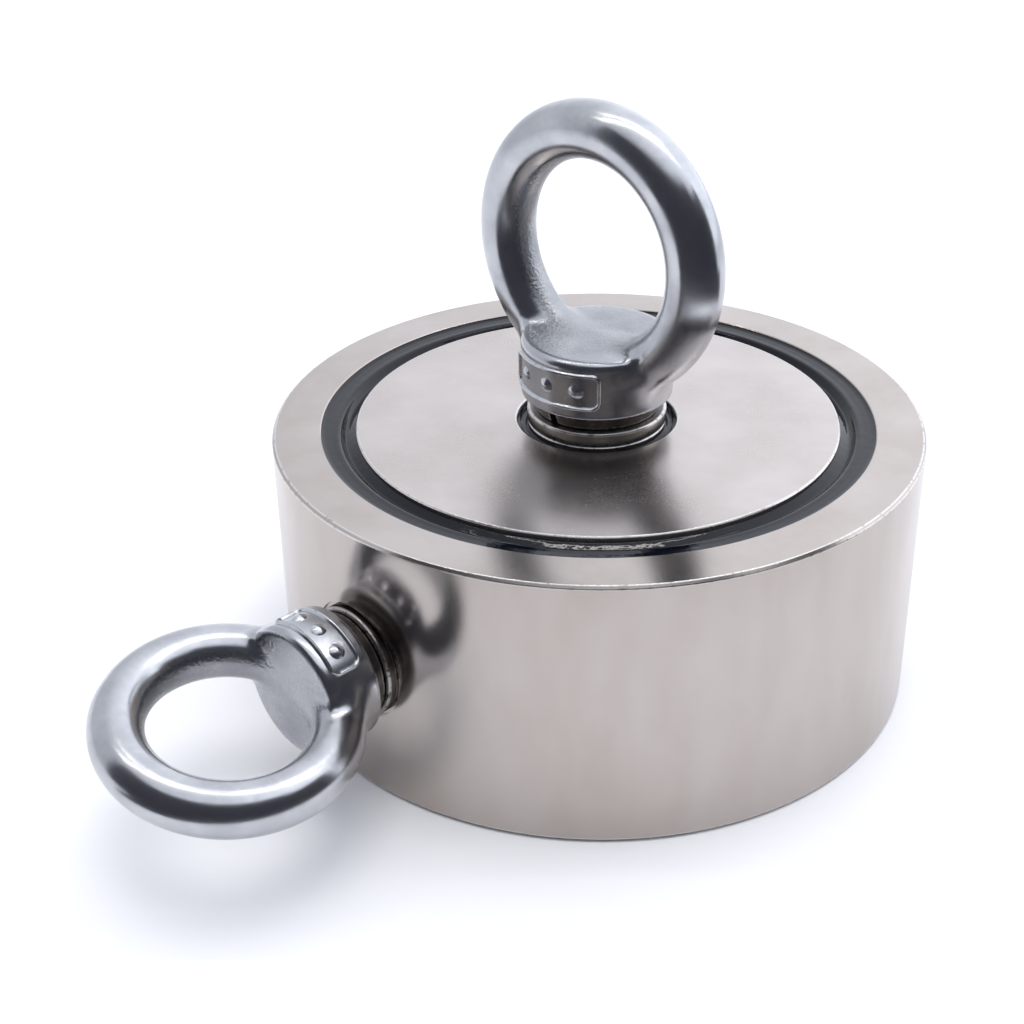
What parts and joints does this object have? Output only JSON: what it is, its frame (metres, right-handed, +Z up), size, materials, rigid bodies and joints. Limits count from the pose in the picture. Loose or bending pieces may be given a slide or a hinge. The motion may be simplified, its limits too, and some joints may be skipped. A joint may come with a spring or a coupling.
{
  "type": "magnet fishing magnet",
  "caption": "Round double-sided pot magnet with a threaded eye bolt on its upper face and a smaller one in its side wall, for pulling steel out of water on a rope.",
  "frame": {"origin": "centre of the pot's lower face, at the mouth of the free threaded hole", "axes": "+Z up along the pot's axis towards the upper eye bolt, -Y outward along the side eye bolt"},
  "size_m": [0.094, 0.1325, 0.0863],
  "materials": {
    "nickel_plate": "satin nickel plating over steel",
    "nickel_disc": "satin nickel plating with a finely brushed face",
    "stainless": "polished cast stainless steel",
    "bright_steel": "bright zinc-plated steel",
    "spring_steel": "plain spring steel",
    "resin": "glossy black cast epoxy",
    "magnet": "nickel-plated sintered neodymium magnet"
  },
  "bodies": {
    "magnet": {"steel_pot": "nickel_plate", "threaded_core": "bright_steel", "lower_ring_magnet": "magnet", "lower_pole_disc": "nickel_disc", "lower_outer_resin": "resin", "lower_core_resin": "resin", "upper_ring_magnet": "magnet", "upper_pole_disc": "nickel_disc", "upper_outer_resin": "resin", "upper_core_resin": "resin"},
    "top_washers": {"top_flat_washer": "bright_steel", "top_spring_washer": "spring_steel"},
    "top_eye": {"top_eye_bolt": "stainless"},
    "side_washers": {"side_flat_washer": "bright_steel", "side_spring_washer": "spring_steel"},
    "side_eye": {"side_eye_bolt": "stainless"}
  },
  "joints": [
    {"name": "top_lift", "type": "slide", "parent": "magnet", "child": "top_washers", "axis": [0, 0, 1], "range_m": [0, 0.0135]},
    {"name": "top_unscrew", "type": "hinge", "parent": "top_washers", "child": "top_eye", "pos_m": [0, 0, 0.04435], "axis": [0, 0, 1], "range_deg": [0, 3240.1]},
    {"name": "side_lift", "type": "slide", "parent": "magnet", "child": "side_washers", "axis": [0, -1, 0], "range_m": [0, 0.01]},
    {"name": "side_unscrew", "type": "hinge", "parent": "side_washers", "child": "side_eye", "pos_m": [0, -0.0501, 0.02], "axis": [0, -1, 0], "range_deg": [0, 2880.1]}
  ],
  "couplings": [
    {"joint": "top_unscrew", "follows": "top_lift", "rad_per_m": 4188.8},
    {"joint": "side_unscrew", "follows": "side_lift", "rad_per_m": 5026.5}
  ]
}
